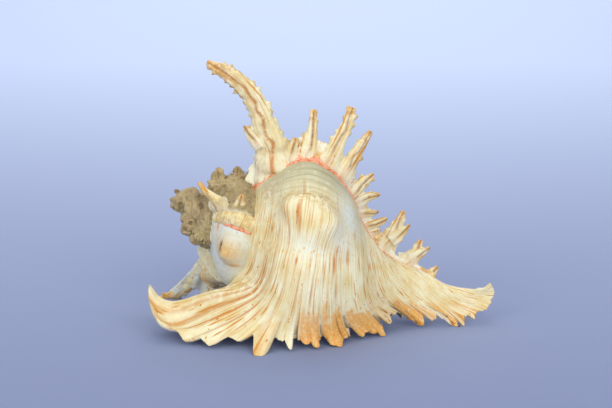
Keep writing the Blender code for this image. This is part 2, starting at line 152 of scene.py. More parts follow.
# Spines and fronds: angle of growth, lean against it at the tip, route as distance along the
# axis and out from it, half widths.
fronds = (
    (-118, 14, ((43, 22), (38.9, 35.5), (36, 41.8), (31, 48), (26, 54.4), (20.3, 60), (13.6, 64.2),
                (6.7, 66.8), (0, 67.6), (-6.2, 68.2)), (10, 9, 7.2, 6, 5, 4.4, 4.1, 3.8, 2.8, 1.5)),
    (-118, 4, ((30, 41), (24, 44.5), (19.4, 47)), (2.6, 1.9, 0.8)),
    (-118, 2, ((45.6, 40), (44.5, 50)), (3, 1.4)),
    (-118, 12, ((53, 40), (51.6, 51), (48.8, 63)), (5.4, 2.6, 1.5)),
    (-118, 14, ((62, 40), (63.6, 50), (65.3, 60), (65.7, 69.6)), (6.2, 3.8, 2.9, 1.4)),
    (-118, 10, ((70.5, 38), (72.6, 47), (75, 55), (77.4, 62.3)), (5.6, 3.2, 2.6, 1.3)),
    (-118, 6, ((78, 31), (81.5, 38), (85.2, 43.6)), (4.2, 2.6, 1.1)),
    (-118, 4, ((82, 29), (87, 33.5), (91.4, 35.4)), (3, 1.8, 0.9)),
    (-118, 4, ((84, 24), (93.6, 26.8)), (2.6, 0.9)),
    (-118, 4, ((88, 17.5), (94, 21.4), (98.8, 25)), (3, 2, 0.9)),
    (-118, 2, ((91, 15), (97.4, 19)), (2.2, 0.9)),
    (-118, 8, ((101, 10), (103.5, 19), (105.5, 29.6)), (5.5, 3.2, 1.3)),
    (-118, 6, ((104, 16), (110.3, 24.8)), (2.4, 0.9)),
    (-118, 5, ((115, 7), (117.2, 13), (117.9, 19.4)), (4.4, 2.4, 1)),
    (-118, 4, ((116, 10), (123, 17.6)), (2.2, 0.9)),
    (-118, 2, ((127, 4), (129.8, 10)), (2.4, 0.9)),
    (-270, 5, ((30, 15), (26.9, 23), (24.6, 29), (22.6, 36), (20.4, 46), (17.3, 55), (13.1, 63),
               (7.3, 67.6)), (7, 6, 4.6, 4, 3.4, 3, 2.6, 1.8)),
    (-270, 5, ((33, 20), (30, 34), (27, 42)), (10, 8, 4)),
    (-270, 6, ((36, 28), (33, 42), (28, 54)), (7, 4, 1.2)),
    (-270, 6, ((41, 30), (39.5, 43), (37.5, 53)), (4.2, 2.4, 1.2)),
    (-270, 7, ((48, 30), (49, 44), (49.5, 53)), (4.4, 2.8, 1.3)),
    (-270, 6, ((54, 28), (57, 40), (59.5, 48)), (4, 2.4, 1.2)),
    (-270, 4, ((59, 24), (64, 34), (67, 39)), (3.4, 2, 1)),
    (-270, 2, ((65, 16), (71, 24), (74, 28)), (3, 1.8, 0.9)),
    (-270, 4, ((76, 9), (79, 19), (80.5, 25)), (4, 2.2, 1)),
    (-270, 3, ((88, 7), (90.5, 17)), (3.2, 1)),
    (-421, 9, ((22, 15), (18.8, 19.6), (12.6, 18.4), (8, 16)), (4.6, 3.2, 2.4, 1.9)),
    (-421, 8, ((29, 18), (28.5, 26)), (2.8, 1.1)),
    (-500, 2, ((19, 12), (16.4, 18), (13.8, 23.6)), (5.2, 3.6, 1.3)),
    (-500, 2, ((25, 16), (24.5, 22), (23.2, 26)), (4.6, 3.2, 1.2)),
    (-605, 2, ((13, 9), (8.5, 15)), (2.4, 1)),
    (-715, 2, ((13, 8), (9.5, 10.5), (6.3, 11.2)), (2.6, 1.8, 1)),
    (-715, 2, ((16.5, 11), (14.7, 16.6)), (2.4, 1.2)),
    (-905, 2, ((8, 5), (4.4, 9.5), (-2.2, 12)), (2, 1.5, 0.8)),
)

tilt = math.radians(growth["tilt"])
alongAxis = np.array((math.cos(tilt), 0, -math.sin(tilt)))
upFromAxis = np.array((math.sin(tilt), 0, math.cos(tilt)))
towardsFront = np.array((0, -1, 0))
base = np.array(growth["apex"]) + np.array(growth["rest"])


def smoothStep(low, high, x):
    t = np.clip((x - low) / (high - low), 0, 1)
    return t * t * (3 - 2 * t)


def through(rows, x):  # a smooth curve through rows, whose first column is the place
    rows = np.array(rows, float)
    knots, values = rows[:, 0], rows[:, 1:]
    slopes = np.gradient(values, knots, axis=0)
    x = np.clip(x, knots[0], knots[-1])
    i = np.clip(np.searchsorted(knots, x, side="right") - 1, 0, len(knots) - 2)
    span = knots[i + 1] - knots[i]
    t = ((x - knots[i]) / span)[..., None]
    span = span[..., None]
    start = values[i] * (1 + 2 * t) * (1 - t) ** 2 + slopes[i] * span * t * (1 - t) ** 2
    end = values[i + 1] * t * t * (3 - 2 * t) - slopes[i + 1] * span * t * t * (1 - t)
    return start + end


def withShares(points):
    points = np.array(points, float)
    steps = np.linalg.norm(np.diff(points, axis=0), axis=1)
    shares = np.concatenate(([0], np.cumsum(steps))) / steps.sum()
    return np.column_stack((shares, points))


def unit(vectors):
    return vectors / (np.linalg.norm(vectors, axis=-1, keepdims=True) + 1e-9)


def lumps(points, size, seed):  # smooth random values from -1 to 1, in lumps of a size
    table = np.random.default_rng(seed).uniform(-1, 1, (32, 32, 32))
    place = points / size
    cell = np.floor(place).astype(int)
    t = place - cell
    t = t * t * (3 - 2 * t)
    value = np.zeros(points.shape[:-1])
    for corner in itertools.product((0, 1), repeat=3):
        weight = np.prod(np.where(corner, t, 1 - t), axis=-1)
        i, j, k = np.moveaxis((cell + corner) % 32, -1, 0)
        value += weight * table[i, j, k]
    return value


def ribRows(x, spacing, seed):  # rounded ribs of random widths and heights, 0 between them
    random = np.random.default_rng(seed)
    edges = np.cumsum(random.uniform(*spacing, 700)) - 150
    heights = random.uniform(0.35, 1, 701)
    i = np.clip(np.searchsorted(edges, x), 1, 699)
    share = (x - edges[i - 1]) / (edges[i] - edges[i - 1])
    return heights[i] * np.sin(np.pi * np.clip(share, 0, 1)) ** 1.4


outlineRows = withShares(growth["outline"])


def scaleAt(turn):
    return growth["perTurn"] ** (turn / 360)


def outlineAt(across):
    point = through(outlineRows, across)
    ahead = through(outlineRows, across + 0.004) - through(outlineRows, across - 0.004)
    return point, unit(np.stack((-ahead[..., 1], ahead[..., 0]), axis=-1))


def triple(*parts):  # three values at every place
    return np.stack(np.broadcast_arrays(*parts), axis=-1)


def placed(along, out, angle):
    angle = np.radians(angle)[..., None]
    radial = np.cos(angle) * towardsFront + np.sin(angle) * upFromAxis
    return base + along[..., None] * alongAxis + out[..., None] * radial


def knobHeight(turn, across):
    height = np.zeros(np.broadcast(turn, across).shape)
    for knobTurn, knobAcross, rise in growth["knobs"]:
        away = ((turn - knobTurn) / growth["knobReach"][0]) ** 2
        away = away + ((across - knobAcross) / growth["knobReach"][1]) ** 2
        height = height + rise * np.exp(-away)
    return height


def whorl(turn, across, wing, inward=0.0):
    scale = scaleAt(turn)
    point, outward = outlineAt(across)
    flap = wing * through(growth["wingHeight"], across)[..., 0] * scale
    rise = knobHeight(turn, across) * scale + flap - inward
    place = point * scale[..., None] + outward * rise[..., None]
    out = np.maximum(place[..., 1], 0.2)
    leanBack = np.degrees(np.arctan2(growth["wingLean"] * flap, out + 4))
    points = placed(place[..., 0], out, growth["lipTurn"] - turn + leanBack)
    lift, start, end = growth["canalLift"]
    points[..., 2] += lift * smoothStep(start, end, place[..., 0])
    return points


def insideOf(turn, across):
    return whorl(turn, across, np.zeros(turn.shape), growth["wall"] * scaleAt(turn) + 0.8)


def grid(turns, shares):
    return np.meshgrid(turns, shares, indexing="ij")


def growthMap(turn, across, further=0.0):
    # Millimetres across the whorl and along the growth, which the patterns are laid out in.
    along = turn * growth["mmPerDegree"] + further
    return triple(across * growth["outlineLength"], along, 0)


def spots(turn, across, places):
    value = np.zeros(turn.shape)
    for place, share, reach, width, strength in places:
        away = ((turn - place) / reach) ** 2 + ((across - share) / width) ** 2
        value = np.maximum(value, strength * np.exp(-away))
    return value


# Skins: points, quads and the masks that the materials read.
# depths holds how ribbed a place is (after the relief, the painted shade of the rib grooves), painted shade
# in creases, slits and hollows, and the lining.
maskNames = ("growthMap", "tints", "marks", "depths")
liningMasks = {"depths": (0, 0, 1.0)}


def newSkin():
    return {"points": [], "faces": [], "count": 0, **{name: [] for name in maskNames}}


def addFaces(skin, index):
    a, b, c, d = index[:-1, :-1], index[:-1, 1:], index[1:, 1:], index[1:, :-1]
    skin["faces"] += np.stack((a, b, c, d), axis=-1).reshape(-1, 4).tolist()


def addSurface(skin, points, masks, closed=False):
    shape = points.shape[:2]
    index = skin["count"] + np.arange(shape[0] * shape[1]).reshape(shape)
    skin["count"] += index.size
    skin["points"].append(points.reshape(-1, 3))
    for name in maskNames:
        values = np.broadcast_to(masks.get(name, np.zeros(3)), shape + (3,))
        skin[name].append(values.reshape(-1, 3))
    addFaces(skin, np.column_stack((index, index[:, :1])) if closed else index)
    return index


def addStrip(skin, first, second):  # faces between two lines whose counts may differ
    i = j = 0
    lastFirst, lastSecond = len(first) - 1, len(second) - 1
    while i < lastFirst or j < lastSecond:
        ahead = (i + 1) / lastFirst <= (j + 1) / lastSecond
        if j == lastSecond or (i < lastFirst and ahead):
            skin["faces"].append([int(first[i]), int(first[i + 1]), int(second[j])])
            i += 1
        else:
            skin["faces"].append([int(first[i]), int(second[j + 1]), int(second[j])])
            j += 1


def addTube(skin, rings, masks):
    index = addSurface(skin, rings, masks, closed=True)
    for end in (0, -1):
        masksThere = {k: v[end].mean(axis=0) if np.ndim(v) == 3 else v for k, v in masks.items()}
        middle = addSurface(skin, rings[end].mean(axis=0)[None, None], masksThere)[0, 0]
        ring = index[end].tolist()
        for i, j in zip(ring, ring[1:] + ring[:1]):
            skin["faces"].append([i, j, int(middle)])


def addSheet(skin, outer, inner, outerMasks, innerMasks):
    one = addSurface(skin, outer, outerMasks)
    two = addSurface(skin, inner, innerMasks)
    for first, second in ((one[0], two[0]), (one[-1], two[-1])):
        addStrip(skin, first, second)
    for side in (0, -1):
        addStrip(skin, one[:, side], two[:, side])


def added(name, data):
    thing = bpy.data.objects.new(name, data)
    bpy.context.scene.collection.objects.link(thing)
    return thing


def meshOf(skin, name):
    data = bpy.data.meshes.new(name)
    data.from_pydata((np.concatenate(skin["points"]) * mm).tolist(), [], skin["faces"])
    mesh = bmesh.new()
    mesh.from_mesh(data)
    bmesh.ops.recalc_face_normals(mesh, faces=mesh.faces[:])
    mesh.to_mesh(data)
    mesh.free()
    return data


def readOut(items, key, width):
    values = np.empty(len(items) * width, np.int32 if width == 1 else np.float32)
    items.foreach_get(key, values)
    return values.reshape(-1, width)


def coordinates(data):
    return readOut(data.vertices, "co", 3).astype(float) / mm


def fused(skin, name, voxel):
    # One skin of all that has grown together, with its masks taken from the nearest points.
    holder = added(name, meshOf(skin, name))
    skinModifier = holder.modifiers.new("fuse", "REMESH")
    skinModifier.mode = "VOXEL"
    skinModifier.voxel_size = voxel * mm
    even = holder.modifiers.new("even out", "SMOOTH")
    even.factor = 0.5
    even.iterations = 2
    graph = bpy.context.evaluated_depsgraph_get()
    result = bpy.data.meshes.new_from_object(holder.evaluated_get(graph))
    bpy.data.objects.remove(holder)
    source = np.concatenate(skin["points"])
    tree = kdtree.KDTree(len(source))
    for i, point in enumerate(source):
        tree.insert(point, i)
    tree.balance()
    nearest = [tree.find(point)[1] for point in coordinates(result)]
    return result, {k: np.concatenate(skin[k])[nearest] for k in maskNames}


def relieved(data, masks):
    # Raises ribs, bands and crust along the normals, and keeps the shell above the floor.
    points = coordinates(data)
    normals = readOut(data.vertices, "normal", 3)
    across, along = masks["growthMap"][:, 0], masks["growthMap"][:, 1]
    crust, lining, ribbed = masks["marks"][:, 1], masks["depths"][:, 2], masks["depths"][:, 0]
    sway = 0.5 * lumps(triple(across / 6, along / 14, 0), 1.0, 4)
    main = ribRows(across + sway, ribs["spacing"], 1)
    fine = ribRows(across + 0.6 * sway, ribs["fineSpacing"], 2)
    bands = ribRows(along + 1.5 * lumps(points, 14, 5), ribs["bandSpacing"], 3)
    relief = ribbed * (ribs["height"] * main + ribs["fineHeight"] * fine)
    relief += (0.4 + 0.6 * masks["tints"][:, 1]) * ribs["bandHeight"] * bands
    grain = 0.6 * lumps(points, ribs["crustGrain"], 6) + 0.4 * lumps(points, 0.9, 7)
    old = smoothStep(0.3, 0.65, masks["tints"][:, 1])  # the spire's crust is the rougher
    relief += crust * ribs["crustHeight"] * grain * (0.4 + 0.6 * old)
    relief += crust * old * ribs["oldCrustHeight"] * (0.4 - np.abs(lumps(points, ribs["oldCrustGrain"], 9)))
    relief += masks["marks"][:, 0] * ribs["coralHeight"] * (1 + lumps(points, ribs["coralGrain"], 8))
    points += (relief * (1 - lining))[:, None] * normals
    points[:, 2] = np.maximum(points[:, 2], 0.05)
    data.vertices.foreach_set("co", (points * mm).astype(np.float32).ravel())
    # painted shade: the grooves between the main ribs, which the material darkens to a deeper tan
    paintedGrooveShade = np.clip(1 - main, 0, 1) * ribbed
    return {**masks, "depths": triple(paintedGrooveShade, masks["depths"][:, 1], lining)}


def finished(data, masks, name, materials):
    masks = relieved(data, masks)
    for key in maskNames:
        attribute = data.attributes.new(key, "FLOAT_VECTOR", "POINT")
        attribute.data.foreach_set("vector", masks[key].astype(np.float32).ravel())
    data.shade_smooth()
    data.update()
    for material in materials:
        data.materials.append(material)
    piece = added(name, data)
    if len(materials) > 1:
        isLining = masks["depths"][:, 2] > 0.5
        corners = readOut(data.loops, "vertex_index", 1)[readOut(data.polygons, "loop_start", 1)]
        data.polygons.foreach_set("material_index", isLining[corners].astype(np.int32).ravel())
    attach(piece, "root")
    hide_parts("shell")
    data.calc_loop_triangles()
    print(name, len(data.loop_triangles), "triangles")


def finishedSkin(skin, name, *materials):
    masks = {k: np.concatenate(skin[k]) for k in maskNames}
    finished(meshOf(skin, name), masks, name, materials)


def finishedFused(skin, name, voxel, *materials):
    finished(*fused(skin, name, voxel), name, materials)


# Colours where they are: angle of growth, share across, reach, width, strength.
bodyColours = {
    # The spots at -76 to -81 around the top of the knob and at its left end are partly the shell's own
    # brown and partly painted shade above the knob.
    "tanAndShade": (
        (-50, 0.195, 40, 0.032, 0.35), (-81, 0.32, 5, 0.09, 1.2), (-10, 0.17, 9, 0.03, 0.6),
        (-76, 0.38, 4, 0.05, 0.9), (-76, 0.23, 6, 0.02, 0.8),
        (-90, 0.16, 14, 0.03, 0.8), (-78, 0.24, 8, 0.03, 0.7),
    ),
    "grey": (
        (-106, 0.36, 20, 0.26, 1.0), (-96, 0.2, 16, 0.06, 0.6), (-84, 0.5, 22, 0.07, 0.8),
    ),
    "white": (
        (-50, 0.34, 6, 0.09, 0.8), (-80, 0.47, 18, 0.04, 0.7), (-60, 0.44, 12, 0.05, 0.7),
        (-30, 0.36, 24, 0.05, 0.35),
    ),
    "marks": (
        (-56, 0.195, 2.4, 0.004, 1), (-32, 0.195, 8, 0.002, 0.8), (-43, 0.31, 2, 0.004, 1),
        (-60, 0.36, 9, 0.0018, 0.7), (-29, 0.365, 8, 0.003, 0.7), (-54, 0.43, 3, 0.004, 0.8),
        (-46, 0.425, 6, 0.005, 1), (-31, 0.435, 6, 0.0025, 0.8), (-68, 0.5, 4, 0.003, 0.8),
        (-32, 0.535, 7, 0.003, 0.8), (-50, 0.59, 3, 0.005, 0.9), (-15, 0.655, 3, 0.004, 0.9),
        (-67, 0.3, 7, 0.0045, 1), (-63, 0.307, 5, 0.003, 0.9), (-66, 0.262, 6, 0.003, 0.8),
        (-64, 0.33, 5, 0.0018, 0.6),
        (-13, 0.202, 15, 0.0035, 1), (-11, 0.222, 14, 0.0028, 0.9), (-9, 0.243, 10, 0.0025, 0.9),
        (-18, 0.186, 20, 0.003, 0.8), (-8, 0.262, 7, 0.0022, 0.8), (-30, 0.23, 14, 0.0022, 0.7),
        (-22, 0.29, 12, 0.002, 0.7), (-52, 0.47, 5, 0.003, 0.8), (-40, 0.395, 6, 0.0022, 0.8),
        (-24, 0.41, 8, 0.002, 0.8), (-38, 0.56, 5, 0.003, 0.8), (-24, 0.6, 4, 0.003, 0.8),
    ),
}


def acrossSteps(count):  # closer together where the lip spreads most
    return np.interp(np.linspace(0, 1, count), (0, 0.08, 0.58, 1), (0, 0.1, 0.42, 1))


def lipSteps(count):
    fine = np.linspace(lip["start"], 0, 800)
    run = np.cumsum(np.gradient(fine) * 0.75 + np.gradient(np.exp(fine / 5)) * 50)
    return np.interp(np.linspace(run[0], run[-1], count), run, fine)


def lipDigit(across):
    run = triple(across * growth["outlineLength"], 0, 0)
    height = 0.5 * lumps(run, 0.9, 11)
    for place, length, halfWidth in lip["digits"]:
        away = np.abs((across - place) / halfWidth)
        pointed = place < 0.29 or place > 0.8
        shape = np.clip(1 - away / 1.7, 0, 1) if pointed else np.exp(-away ** 4)
        height = np.maximum(height, length * shape)
    start, full, falling, end = lip["jaggedShares"]
    jagged = smoothStep(start, full, across) * (1 - 0.85 * smoothStep(falling, end, across))
    return height + lip["jag"] * jagged * (lumps(run, 1.5, 12) ** 2 - 0.1)


def lipPoints(turn, share):
    reach = growth["spineReach"]
    reach = reach + (growth["bodyReach"] - reach) * smoothStep(0.19, 0.42, share)
    spread = np.exp(turn / reach)
    across = share[0]
    flare = through(lip["edge"], across) + np.array(growth["rest"])
    flare -= whorl(np.zeros(len(across)), across, np.zeros(len(across)))
    downAndOut = unit(0.5 * unit(flare) + np.array((0, -0.45, -0.9)))
    points = whorl(turn, share, np.zeros(turn.shape)) + spread[..., None] * flare
    fringe = np.exp(turn / growth["digitReach"]) * lipDigit(across)
    points += fringe[..., None] * downAndOut
    onSpine = 1 - smoothStep(0.19, 0.25, share)
    points[..., 2] -= growth["spineSag"] * spread ** 4 * (1 - spread) * onSpine
    further = spread * np.linalg.norm(flare, axis=1)
    return points, further


def makeBody(shellMaterial, liningMaterial):
    turn, share = grid(lipSteps(lip["rows"]), acrossSteps(lip["columns"]))
    outer, further = lipPoints(turn, share)
    normal = unit(np.cross(np.gradient(outer, axis=0), np.gradient(outer, axis=1)))
    rise, crust = np.zeros(turn.shape), np.zeros(turn.shape)
    steps = np.linalg.norm(np.diff(outer, axis=0), axis=2)[::-1]
    fromEdge = np.concatenate((np.zeros((1, len(share[0]))), np.cumsum(steps, axis=0)))[::-1]
    crustEdge = fromEdge + 3 * lumps(outer, 3.0, 24) + 2.5 * lumps(outer, 1.2, 25)
    for place, halfWidth, height, crusted in lip["folds"]:
        shape = np.exp(-np.abs((share - place) / halfWidth) ** 4)
        rise = np.maximum(rise, height * shape * np.exp(turn / lip["foldReach"]))
        crust = np.maximum(crust, crusted * smoothStep(0.25, 0.6, shape)
                           * (1 - smoothStep(*lip["crustReach"], crustEdge)))
    paintedShade = np.zeros(turn.shape)
    nearEdge = 1 - smoothStep(*lip["creaseReach"], crustEdge)
    for place, halfWidth, depth, reach in lip["creases"]:
        rise = rise - depth * np.exp(-((share - place) / halfWidth) ** 2 + turn / reach)
        # painted shade: a dark line down each crease near the lip's edge
        line = np.exp(-((share - place) / (0.4 * halfWidth)) ** 2)
        paintedShade = np.maximum(paintedShade, lip["creaseShade"] * line * nearEdge)
    for place, acrossPlace, reach, width, height in lip["bumps"]:
        away = ((turn - place) / reach) ** 2 + ((share - acrossPlace) / width) ** 2
        rise = rise + height * np.exp(-away)
    wall = lip["wall"] + (growth["wall"] - lip["wall"]) * (1 - np.exp(turn / lip["wallReach"]))
    coralTurn, coralWidth, coralStrength = lip["coral"]
    coral = coralStrength * np.exp(-((turn - coralTurn) / coralWidth) ** 4)
    inner = outer + normal * (0.7 * rise - wall)[..., None]
    outer = outer + normal * rise[..., None]
    masks = {
        "growthMap": growthMap(turn, share, further),
        "tints": triple(*(spots(turn, share, bodyColours[k]) for k in ("tanAndShade", "grey", "white"))),
        "marks": triple(coral, crust, spots(turn, share, bodyColours["marks"])),
        "depths": triple(0.05 + 0.95 * smoothStep(*lip["ribbedFrom"], turn), paintedShade, 0),
    }
    innerMasks = {k: v[::3, ::3] for k, v in masks.items()} | liningMasks
    skin = newSkin()
    addSheet(skin, outer, inner[::3, ::3], masks, innerMasks)
    finishedSkin(skin, "bodyWhorl", shellMaterial, liningMaterial)


def frameOf(turn):
    angle = math.radians(growth["lipTurn"] - turn)
    outward = math.cos(angle) * towardsFront + math.sin(angle) * upFromAxis
    return outward, math.sin(angle) * towardsFront - math.cos(angle) * upFromAxis


# A frond is a folded channel whose slit faces the growth. Its barbs point to the tip.
frondShape = {
    "around": 44,
    "step": 0.55,
    "flatness": 0.66,
    "slitDepth": 0.6,
    "slitWidth": 0.4,
    "slitWander": 0.2,
    "tipOpening": 1.3,
    "flare": (0.5, 5.0),
    "unevenness": 0.22,
    "barbSpacing": 3.6,
    "barbSize": 1.35,
    "barbFrom": (0.15, 0.4),
    "slitFrom": (0.2, 0.36),
    "slitShade": 0.42,
    "blushWidth": 0.9,
    "longSpine": 40,
    "oldCrust": -421,  # fronds older than this are all crust
}


def addFrond(skin, number, turn, lean, route, widths):
    shape = frondShape
    length = np.linalg.norm(np.diff(np.array(route), axis=0), axis=1).sum()
    shares = np.linspace(0, 1, max(14, int(length / shape["step"])))
    line = through(withShares(route), shares)
    outward, growthWay = frameOf(turn)
    back = 1.0 + lean * shares ** 1.5 + shape["flatness"] * widths[0] * np.exp(-shares * length / 9)
    centre = base + line[:, :1] * alongAxis + line[:, 1:] * outward - back[:, None] * growthWay
    knots = np.column_stack((withShares(route)[:, 0], widths))
    width = np.interp(shares, knots[:, 0], knots[:, 1])
    flare, flareReach = shape["flare"]
    width = width * (1 + flare * np.exp(-shares * length / flareReach))
    ahead = np.gradient(centre, axis=0)
    side = unit(np.cross(ahead, growthWay))
    front = unit(np.cross(side, ahead))
    front *= np.sign((front @ growthWay).mean())
    around = np.linspace(-1, 1, shape["around"], endpoint=False)
    angle = np.pi * np.sign(around) * np.abs(around) ** 1.5
    wander = shape["slitWander"] * lumps(triple(shares * length / 4, number, 0), 1.0, 21)[:, None]
    opening = shape["slitWidth"] + shape["tipOpening"] * smoothStep(0.78, 1, shares)
    fromSlit = (angle[None] - wander) * width[:, None]
    crack = np.exp(-(fromSlit / opening[:, None]) ** 2)
    opened = smoothStep(*shape["slitFrom"], shares)[:, None]
    crack = crack * opened
    slit = shape["slitDepth"] * crack
    random = np.random.default_rng(100 + number)
    sides = np.exp(-((np.abs(angle) - 0.5 * np.pi) / 0.42) ** 2)[None]
    rim = sides
    for sign in (-1, 1):
        phase = random.uniform(0, 1)
        run = shares * length / shape["barbSpacing"] + phase
        tooth = (run % 1) ** 1.8 * np.clip(random.uniform(-0.7, 1.3, 60), 0.05, 2)[run.astype(int) % 60]
        tooth = tooth * smoothStep(*shape["barbFrom"], shares)
        sides = sides * np.where(np.sign(angle) == sign, tooth[:, None], 1)
    radius = width[:, None] * (1 - slit) + shape["barbSize"] * sides * np.sqrt(width)[:, None]
    rough = triple(shares[:, None] * length / 3.2, np.sin(angle) * 1.3 + number, np.cos(angle) * 1.3)
    radius = radius * (1 + shape["unevenness"] * lumps(rough, 1.0, 22))
    across = radius[..., None] * np.sin(angle)[None, :, None] * side[:, None]
    depth = radius[..., None] * shape["flatness"] * np.cos(angle)[None, :, None] * front[:, None]
    tip = smoothStep(0.7, 1, shares)[:, None]
    foot = 0.7 * (1 - smoothStep(0, 0.45, shares))[:, None]
    isLong = length > shape["longSpine"]
    # painted shade: the slit down the frond is darkened, less on the long spines
    paintedShade = np.exp(-(fromSlit / shape["slitShade"]) ** 2) * opened * (0.55 if isLong else 1)
    blush = np.exp(-(fromSlit / shape["blushWidth"]) ** 2) * (0.9 if isLong else 0.35)
    old = 1.0 if turn < shape["oldCrust"] else 0.0
    masks = {
        "growthMap": triple(0.5 * radius * angle[None] + 7 * number, shares[:, None] * length, 0),
        "tints": triple(np.clip(tip + 0.55 * rim + 0.2, 0, 1) * (1 - 0.6 * old), 0.7 * old,
                        foot * (1 - old)),
        "marks": triple(0, np.maximum(0.35 * tip, old), blush * (1 - 0.7 * old)),
        "depths": triple(0.6, paintedShade, 0),
    }
    addTube(skin, centre[:, None] + across + depth, masks)


varix = {
    "pieces": (("topVarix", -118, 1.0, 0.45), ("backVarix", -270, 0.9, 0.5)),  # the last is the voxel
    "stretch": 24,  # degrees of whorl that are fused with the varix
    "rows": 30,
    "columns": 520,
    "faceRows": 14,
    "foot": 0.6,
    "bulge": 1.3,
    "smudge": 5.0,
    "betweenFronds": (0.8, 0.1),  # height of the wing and its unevenness
    "atFronds": (0.75, 0.3),  # where the rise to a frond starts, and how much it adds
}


def wingShare(turns, newer, factor):
    return factor * np.exp((turns - newer) / growth["wingReach"])


def varixFronds(turn):
    return [(i, f) for i, f in enumerate(fronds) if f[0] == turn]


def wingScallop(newer, across):  # the wing rises to each frond and dips between them
    height, unevenness = varix["betweenFronds"]
    rise = height + unevenness * lumps(triple(across * 40, 0, 0), 1.0, 23)
    start, extra = varix["atFronds"]
    shares = np.linspace(0, 1, 400)
    outline = outlineAt(shares)[0] * scaleAt(newer)
    for _, (_, _, route, widths) in varixFronds(newer):
        place = shares[np.argmin(np.linalg.norm(outline - np.array(route[0], float), axis=1))]
        width = 1.3 * widths[0] / (growth["outlineLength"] * scaleAt(newer))
        rise = np.maximum(rise, start + extra * np.exp(-((across - place) / width) ** 2))
    return rise


def addWing(skin, newer, factor):
    # A stretch of whorl that ends in a varix: outside, the face that looks with the growth, inside.
    older = newer - varix["stretch"]
    turns = older + (newer - older) * np.linspace(0, 1, varix["rows"]) ** 0.8
    turn, share = grid(turns, np.linspace(0, 1, varix["columns"]))
    wing = wingShare(turn, newer, factor) * wingScallop(newer, share)
    outer = whorl(turn, share, wing)
    foot = whorl(turn[-1:], share[-1:], wing[-1:] * 0, varix["foot"])
    steps = np.linspace(0, 1, varix["faceRows"])[1:, None, None]
    growthWay = frameOf(newer)[1]
    face = outer[-1:] * (1 - steps) + foot * steps
    hollow = 0.4 - (wingScallop(newer, share[-1:])[..., None] - varix["atFronds"][0]) * 2
    face = face + varix["bulge"] * np.sin(np.pi * steps) * hollow * growthWay
    inner = insideOf(turn, share)
    edge = smoothStep(-4, 0, turn - newer)
    masks = {
        "growthMap": growthMap(turn, share),
        "tints": triple(0.5 * edge, 0, 0),
        "marks": triple(0, 0.25 * edge, 0),
        "depths": triple(0.7, 0 * edge, 0),
    }
    down = steps[..., 0]
    smudge = smoothStep(-0.05, 0.35, lumps(face, varix["smudge"], 41))
    faceMasks = {
        "growthMap": growthMap(turn[-1:], share[-1:], 12 * down),
        "tints": triple(np.maximum(0.5 * (1 - smoothStep(0, 0.3, down)), smudge), 0,
                        0.75 * (1 - smudge)),
        "marks": triple(smoothStep(0.7, 0.86, down), 0.3 * smudge, 0),
        "depths": triple(0.25, 0 * smudge, 0),
    }
    joined = {k: np.concatenate((masks[k], faceMasks[k])) for k in masks}
    addSheet(skin, np.concatenate((outer, face)), inner, joined, liningMasks)


# Cords laid on the whorl: name, angle of growth, shares across, radius, wander, kind.
cords = (
    ("topCoral", -114.5, (0.02, 0.8), 0.62, 0.9, "coral"),
    ("spireCoral", -407.5, (0.17, 0.5), 0.5, 0.5, "coral"),
    ("spireVarix", -417.0, (0.12, 0.54), 3.6, 1.0, "cream"),
)


def makeCord(name, turn, ends, radius, wander, kind, shellMaterial):
    share = np.linspace(*ends, 420)
    run = triple(share * growth["outlineLength"] * scaleAt(turn), 0, turn)
    sway = wander * lumps(run, 6.0, 31) / (growth["mmPerDegree"] * scaleAt(turn))
    centre = whorl(turn + sway, share, 0 * share)
    ahead = unit(np.gradient(centre, axis=0))
    side = unit(np.cross(ahead, frameOf(turn)[0]))
    up = np.cross(side, ahead)
    angle = np.linspace(0, 2 * np.pi, 24, endpoint=False)[None, :, None]
    coral, cream = (1.0, 0.0) if kind == "coral" else (0.0, 1.0)
    flatness = 0.8 - 0.25 * cream
    taper = np.sqrt(np.clip(np.minimum(share - ends[0], ends[1] - share) / 0.02, 0.02, 1))
    width = radius * taper * (1 + 0.28 * lumps(run, 3.5 * radius + 1, 32) + 0.06 * lumps(run, 1.3, 33))
    ring = np.cos(angle) * side[:, None] + flatness * np.sin(angle) * up[:, None]
    points = centre[:, None] + width[:, None, None] * ring
    masks = {
        "growthMap": triple(run[:, :1], turn, 0 * angle[..., 0]),
        "tints": (0.6 * cream, 0, 0),
        "marks": (coral, 0, 0),
        "depths": (0.2, 0, 0),
    }
    skin = newSkin()
    addTube(skin, points, masks)
    finishedSkin(skin, name, shellMaterial)


backWhorl = {
    "turns": (-276, -134),
    "rows": 120,
    "columns": 400,
    "greyFrom": (-240, -262),
    "tanPatch": 15.0,
    "whitePatch": 13.0,
}


def makeBackWhorl(shellMaterial, liningMaterial):
    turns = np.linspace(*backWhorl["turns"], backWhorl["rows"])
    turn, share = grid(turns, np.linspace(0, 1, backWhorl["columns"]))
    outer = whorl(turn, share, wingShare(turn, -118, 1.0) * wingScallop(-118, share))
    inner = insideOf(turn, share)
    masks = {
        "growthMap": growthMap(turn, share),
        "tints": triple(0.7 * smoothStep(0, 0.6, lumps(outer, backWhorl["tanPatch"], 51)),
                        0.6 * smoothStep(*backWhorl["greyFrom"], turn),
                        0.8 * smoothStep(0, 0.6, lumps(outer, backWhorl["whitePatch"], 52))),
        "depths": (0.8, 0, 0),
    }
    skin = newSkin()
    addSheet(skin, outer, inner[::3, ::3], masks, liningMasks)
    finishedSkin(skin, "backWhorl", shellMaterial, liningMaterial)


# Webs between fronds, by angle of growth: the edge as distance along the axis and out from it.
webs = {
    -270: ((9, 65), (12.5, 61.5), (16, 55), (19, 51), (22, 51.5), (26, 55), (28.5, 52), (31, 47.5),
           (34, 48), (37.5, 52), (40, 46), (44, 43), (48.5, 50), (52, 42), (56, 38)),
}


